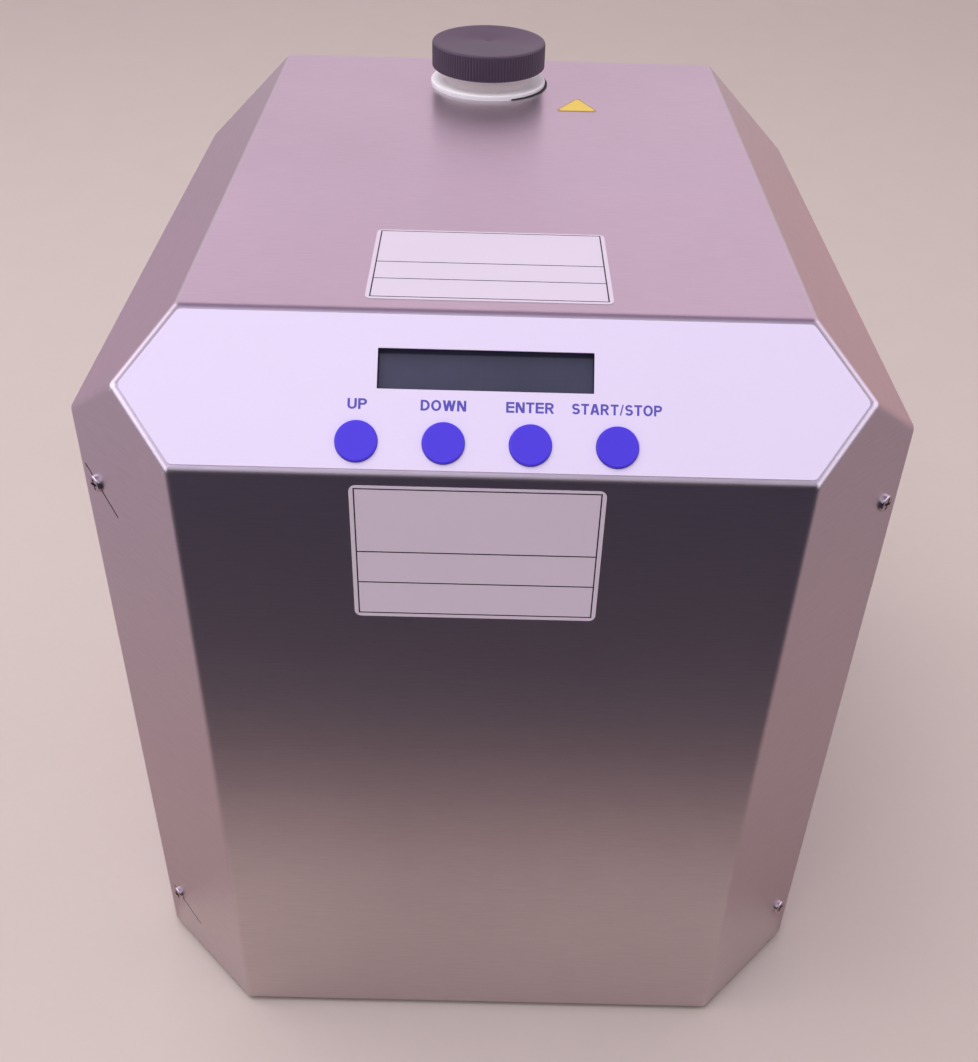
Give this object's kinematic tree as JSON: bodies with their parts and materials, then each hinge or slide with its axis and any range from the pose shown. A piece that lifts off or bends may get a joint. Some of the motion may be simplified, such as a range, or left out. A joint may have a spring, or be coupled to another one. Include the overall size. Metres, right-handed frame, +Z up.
{
  "type": "solid state chiller",
  "caption": "Bench-top thermoelectric recirculating chiller in a chamfered steel casing, with a sloped control panel, a fill cap on top and hose fittings at the back",
  "frame": {"origin": "middle of the whole outline, on the surface that the feet stand on", "axes": "+Z up, control panel and front face towards -Y, fans and hose fittings at +Y, +X to the right seen from the front"},
  "size_m": [0.2758, 0.316, 0.3281],
  "materials": {
    "cover_steel": "satin, brushed across the width",
    "panel_steel": "satin",
    "plated_steel": "zinc plated",
    "screw_steel": "bright",
    "overlay": "satin",
    "button_blue": "satin",
    "display_glass": "gloss",
    "display_bezel": "matt black",
    "circuit_board": "satin",
    "black_moulding": "satin",
    "rocker": "semi gloss",
    "cap_plastic": "satin",
    "liner": "matt",
    "neck_plastic": "satin",
    "rubber": "matt",
    "tank_plastic": "satin",
    "nickel": "nickel plated",
    "fuse_glass": "clear",
    "aluminium": "mill finish",
    "ceramic": "matt white",
    "pump_plastic": "satin",
    "motor_paint": "satin",
    "hose": "matt"
  },
  "bodies": {
    "casing": {"outer_cover": "cover_steel", "rear_panel": "panel_steel", "base_tray": "panel_steel", "tank_shelf": "plated_steel", "left_post": "plated_steel", "right_post": "plated_steel", "left_stand": "plated_steel", "right_stand": "plated_steel", "pump_bracket": "plated_steel", "board_bracket": "plated_steel", "front_cover_screws": "screw_steel", "side_cover_screws": "screw_steel", "foot_screws": "screw_steel", "fan_screws": "screw_steel", "clamp_bolts": "screw_steel", "board_spacers": "screw_steel", "control_overlay": "overlay", "display_glass": "display_glass", "display_bezel": "display_bezel", "panel_board": "circuit_board", "control_board": "circuit_board", "key_switches": "black_moulding", "left_fan_frame": "black_moulding", "right_fan_frame": "black_moulding", "power_inlet": "black_moulding", "port_insert": "black_moulding", "fill_neck": "neck_plastic", "neck_nut": "neck_plastic", "neck_gasket": "rubber", "front_left_foot": "rubber", "front_right_foot": "rubber", "back_left_foot": "rubber", "back_right_foot": "rubber", "reservoir_tank": "tank_plastic", "supply_fitting": "nickel", "return_fitting": "nickel", "fitting_nuts": "nickel", "plate_barbs": "nickel", "inlet_pins": "nickel", "serial_port": "nickel", "upper_heat_sink": "aluminium", "lower_heat_sink": "aluminium", "cold_plate": "aluminium", "power_supply": "aluminium", "thermoelectric_modules": "ceramic", "pump_head": "pump_plastic", "pump_motor": "motor_paint", "inner_hoses": "hose"},
    "up_button": {"up_button": "button_blue"},
    "down_button": {"down_button": "button_blue"},
    "enter_button": {"enter_button": "button_blue"},
    "start_stop_button": {"start_stop_button": "button_blue"},
    "cap_seal": {"cap_liner": "liner"},
    "cap": {"fill_cap": "cap_plastic"},
    "left_rotor": {"left_fan_rotor": "black_moulding"},
    "right_rotor": {"right_fan_rotor": "black_moulding"},
    "rocker": {"power_rocker": "rocker"},
    "drawer": {"fuse_drawer": "black_moulding", "fuses": "fuse_glass"}
  },
  "joints": [
    {"name": "up_button_press", "type": "slide", "parent": "casing", "child": "up_button", "axis": [0, 0.7071, -0.7071], "range_m": [0, 0.0008], "stiffness_N_per_m": 800, "springref_m": -0.0005},
    {"name": "down_button_press", "type": "slide", "parent": "casing", "child": "down_button", "axis": [0, 0.7071, -0.7071], "range_m": [0, 0.0008], "stiffness_N_per_m": 800, "springref_m": -0.0005},
    {"name": "enter_button_press", "type": "slide", "parent": "casing", "child": "enter_button", "axis": [0, 0.7071, -0.7071], "range_m": [0, 0.0008], "stiffness_N_per_m": 800, "springref_m": -0.0005},
    {"name": "start_stop_button_press", "type": "slide", "parent": "casing", "child": "start_stop_button", "axis": [0, 0.7071, -0.7071], "range_m": [0, 0.0008], "stiffness_N_per_m": 800, "springref_m": -0.0005},
    {"name": "cap_lift", "type": "slide", "parent": "casing", "child": "cap_seal", "axis": [0, 0, 1], "range_m": [0, 0.008]},
    {"name": "cap_turn", "type": "hinge", "parent": "cap_seal", "child": "cap", "pos_m": [-0.005, 0.096, 0.31], "axis": [0, 0, 1], "range_deg": [0, 721]},
    {"name": "left_fan_spin", "type": "hinge", "parent": "casing", "child": "left_rotor", "pos_m": [-0.062, 0.1185, 0.167], "axis": [0, 1, 0], "continuous": true},
    {"name": "right_fan_spin", "type": "hinge", "parent": "casing", "child": "right_rotor", "pos_m": [0.062, 0.1185, 0.167], "axis": [0, 1, 0], "continuous": true},
    {"name": "power_rocker_tip", "type": "hinge", "parent": "casing", "child": "rocker", "pos_m": [-0.095, 0.127, 0.076], "axis": [1, 0, 0], "range_deg": [0, 20]},
    {"name": "fuse_drawer_slide", "type": "slide", "parent": "casing", "child": "drawer", "axis": [0, 1, 0], "range_m": [0, 0.02]}
  ],
  "couplings": [
    {"joint": "cap_turn", "follows": "cap_lift", "rad_per_m": 1570.8}
  ]
}
